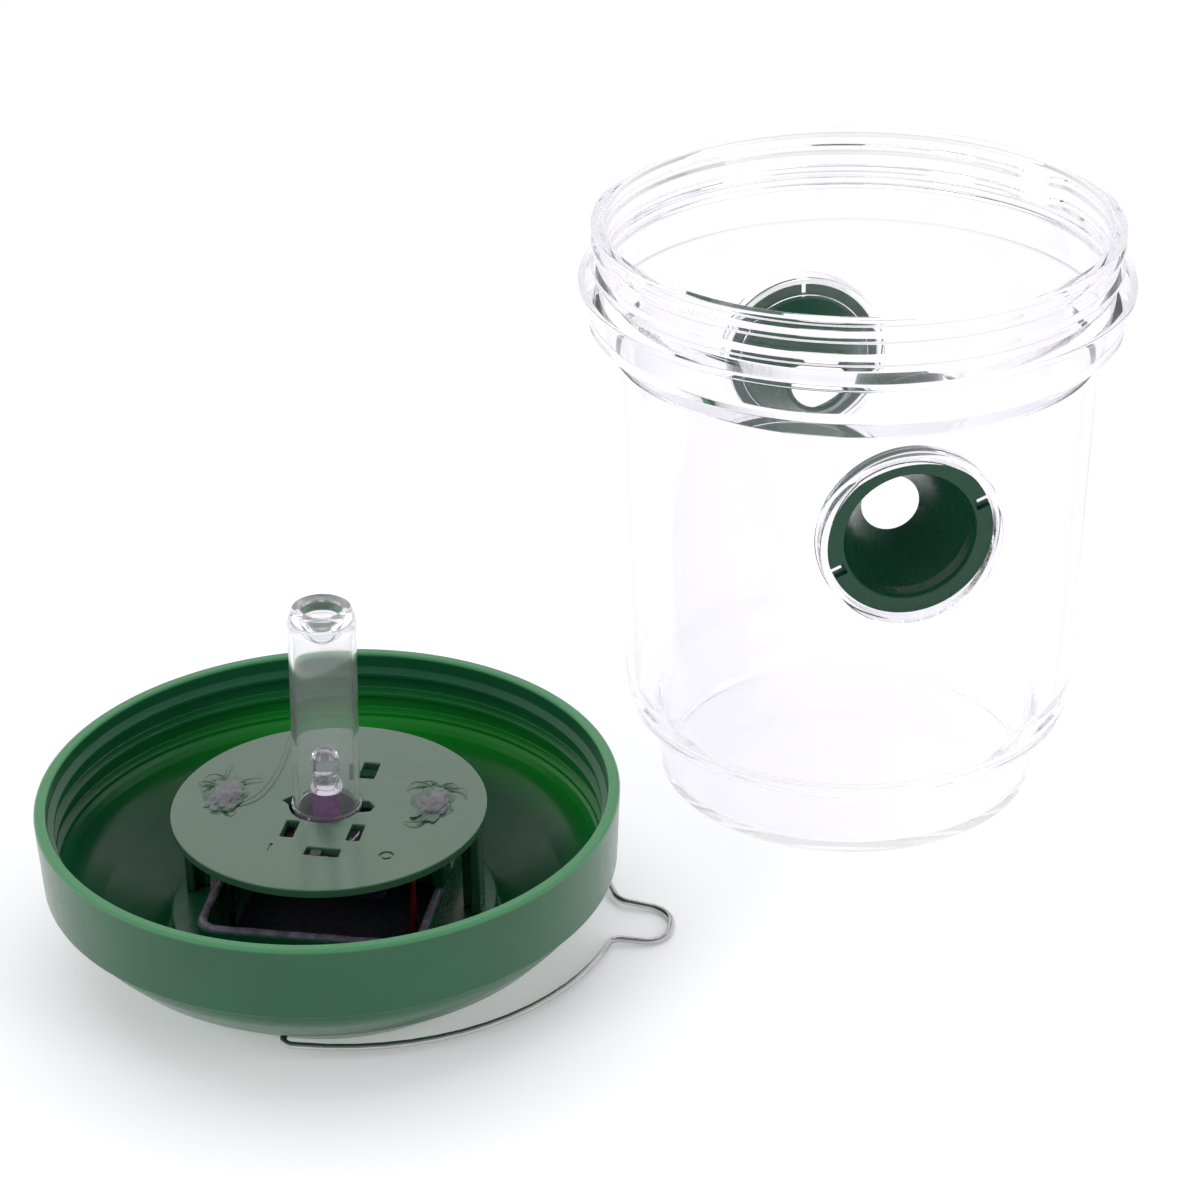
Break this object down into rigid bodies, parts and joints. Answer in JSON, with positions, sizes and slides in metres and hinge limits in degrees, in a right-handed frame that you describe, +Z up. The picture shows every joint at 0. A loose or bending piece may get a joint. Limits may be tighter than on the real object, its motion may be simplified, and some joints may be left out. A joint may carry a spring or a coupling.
{
  "type": "hanging insect trap",
  "caption": "Clear screw jar with funnel entries, and a green screw lid with solar light tube and wire bail lying beside it.",
  "frame": {"origin": "centre of the jar's flat base, on the surface it stands on", "axes": "+Z up along the jar's axis; +Y along the entry cones' common axis, towards the rear cone; the lid lies on the -X side"},
  "size_m": [0.214, 0.1512, 0.1167],
  "materials": {
    "clear_plastic": "clear gloss",
    "green_plastic": "satin moulded",
    "panel_clear": "clear resin",
    "panel_dark": "dark silicon",
    "sealant": "translucent",
    "diode_clear": "clear epoxy",
    "tinned_metal": "tinned",
    "board_purple": "solder mask",
    "black_plastic": "matte",
    "resistor_tan": "lacquer",
    "cell_wrap": "heat-shrink sleeve",
    "red_insulation": "insulation",
    "steel_wire": "drawn stainless"
  },
  "bodies": {
    "jar": {"jar": "clear_plastic"},
    "front_cone": {"front_entry_cone": "green_plastic"},
    "rear_cone": {"rear_entry_cone": "green_plastic"},
    "lid": {"light_tube": "clear_plastic", "lid_shell": "green_plastic", "module_base": "green_plastic", "module_cover": "green_plastic", "panel_cover": "panel_clear", "panel_backing": "panel_dark", "solar_cells": "panel_dark", "panel_sealant": "sealant", "left_glue_blob": "sealant", "right_glue_blob": "sealant", "light_diode": "diode_clear", "diode_leads": "tinned_metal", "switch_pins": "tinned_metal", "cell_tabs": "tinned_metal", "switch_case": "tinned_metal", "control_board": "board_purple", "diode_riser_board": "board_purple", "control_chip": "black_plastic", "switch_base": "black_plastic", "coil_inductor": "black_plastic", "black_wire": "black_plastic", "resistor": "resistor_tan", "rechargeable_cell": "cell_wrap", "red_wire": "red_insulation"},
    "switch": {"switch_knob": "black_plastic"},
    "bail": {"bail_handle": "steel_wire"}
  },
  "joints": [
    {"name": "lid_flip", "type": "hinge", "parent": "jar", "child": "lid", "pos_m": [-0.05425, -0.02285, 0.07558], "axis": [-0.3882, 0.9216, 0], "range_deg": [0, 180]},
    {"name": "front_cone_pull", "type": "slide", "parent": "jar", "child": "front_cone", "axis": [0, -1, 0], "range_m": [0, 0.03]},
    {"name": "rear_cone_pull", "type": "slide", "parent": "jar", "child": "rear_cone", "axis": [0, 1, 0], "range_m": [0, 0.03]},
    {"name": "switch_travel", "type": "slide", "parent": "lid", "child": "switch", "axis": [0.9416, -0.3366, 0], "range_m": [0, 0.0024]},
    {"name": "bail_pivot", "type": "hinge", "parent": "lid", "child": "bail", "pos_m": [-0.1085, -0.0457, 0.005], "axis": [0.3366, 0.9416, 0], "range_deg": [0, 170]}
  ]
}
